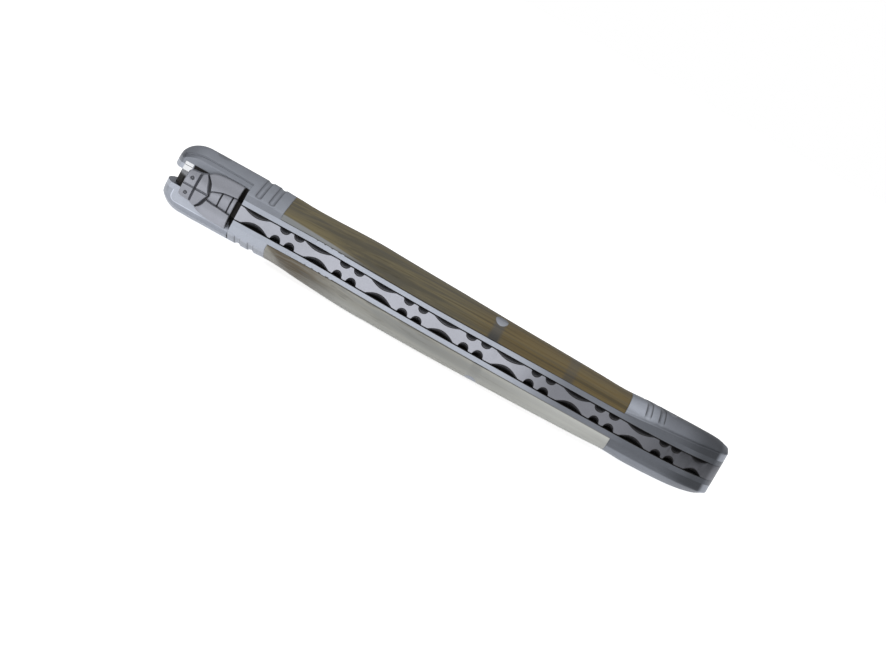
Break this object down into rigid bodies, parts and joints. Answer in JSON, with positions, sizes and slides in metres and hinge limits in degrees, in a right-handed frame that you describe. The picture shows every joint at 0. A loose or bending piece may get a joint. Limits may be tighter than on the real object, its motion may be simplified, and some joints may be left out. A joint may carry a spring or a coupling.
{
  "type": "folding pocket knife",
  "caption": "Spring-back folding pocket knife with horn scales, fluted steel bolsters, a filed back spring and a bee on the spring head.",
  "frame": {"origin": "centre of the bounding box's bottom, with the closed knife lying on its left side", "axes": "+X from the pivot end to the butt, -Y towards the spine, +Y towards the belly, +Z towards the knife's right side"},
  "size_m": [0.12, 0.021, 0.0144],
  "materials": {
    "blade_steel": "satin",
    "blasted_steel": "bead blasted, matte",
    "pin_steel": "filed flush",
    "olive_horn": "satin polished horn",
    "pale_horn": "satin polished horn"
  },
  "bodies": {
    "handle": {"back_spring": "blasted_steel", "left_liner": "blasted_steel", "right_liner": "blasted_steel", "front_bolster_left": "blasted_steel", "front_bolster_right": "blasted_steel", "rear_bolster_left": "blasted_steel", "rear_bolster_right": "blasted_steel", "left_scale": "pale_horn", "right_scale": "olive_horn", "pivot_pin": "pin_steel", "spring_pin": "pin_steel", "butt_pin": "pin_steel", "left_scale_rivets": "pin_steel", "right_scale_rivets": "pin_steel", "left_bolster_rivets": "pin_steel", "right_bolster_rivets": "pin_steel"},
    "blade": {"blade": "blade_steel"},
    "spring_head": {"bee": "blasted_steel"}
  },
  "joints": [
    {"name": "blade_pivot", "type": "hinge", "parent": "handle", "child": "blade", "pos_m": [-0.0523, -0.0011, 0.0072], "axis": [0, 0, 1], "range_deg": [0, 180], "deforming": ["back_spring"]},
    {"name": "spring_lift", "type": "hinge", "parent": "handle", "child": "spring_head", "pos_m": [0.00948, -0.0079, 0.0072], "axis": [0, 0, 1], "range_deg": [0, 1.5], "stiffness_Nm_per_rad": 0.4, "deforming": ["back_spring"]}
  ]
}
